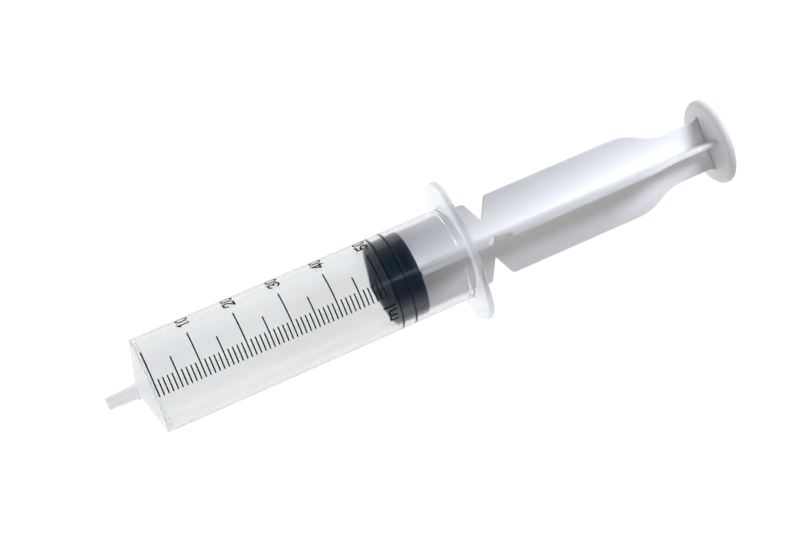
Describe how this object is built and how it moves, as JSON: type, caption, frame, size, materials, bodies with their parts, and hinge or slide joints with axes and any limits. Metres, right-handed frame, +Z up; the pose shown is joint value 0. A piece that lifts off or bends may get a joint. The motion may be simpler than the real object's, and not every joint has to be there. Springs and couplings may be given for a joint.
{
  "type": "luer slip syringe",
  "caption": "Clear plastic syringe with a tapered slip nozzle, oval finger flange, ribbed rubber stopper and a notched cross-ribbed plunger rod with a round thumb disc, drawn back.",
  "frame": {"origin": "centre of the nozzle's mouth", "axes": "+X along the axis from the nozzle to the thumb disc, +Z up with the syringe lying on its side, Y along the finger flange's wings"},
  "size_m": [0.2191, 0.0484, 0.037],
  "materials": {
    "clear_plastic": "clear moulded polypropylene",
    "stopper_rubber": "siliconed dark grey rubber",
    "white_plastic": "satin white moulded plastic"
  },
  "bodies": {
    "barrel": {"barrel": "clear_plastic"},
    "stopper": {"stopper": "stopper_rubber"},
    "plunger_rod": {"plunger_rod": "white_plastic"}
  },
  "joints": [
    {"name": "plunger_slide", "type": "slide", "parent": "barrel", "child": "stopper", "axis": [1, 0, 0], "range_m": [-0.079, 0.0135]},
    {"name": "rod_spin", "type": "hinge", "parent": "stopper", "child": "plunger_rod", "pos_m": [0.105, 0, 0], "axis": [1, 0, 0], "continuous": true}
  ]
}
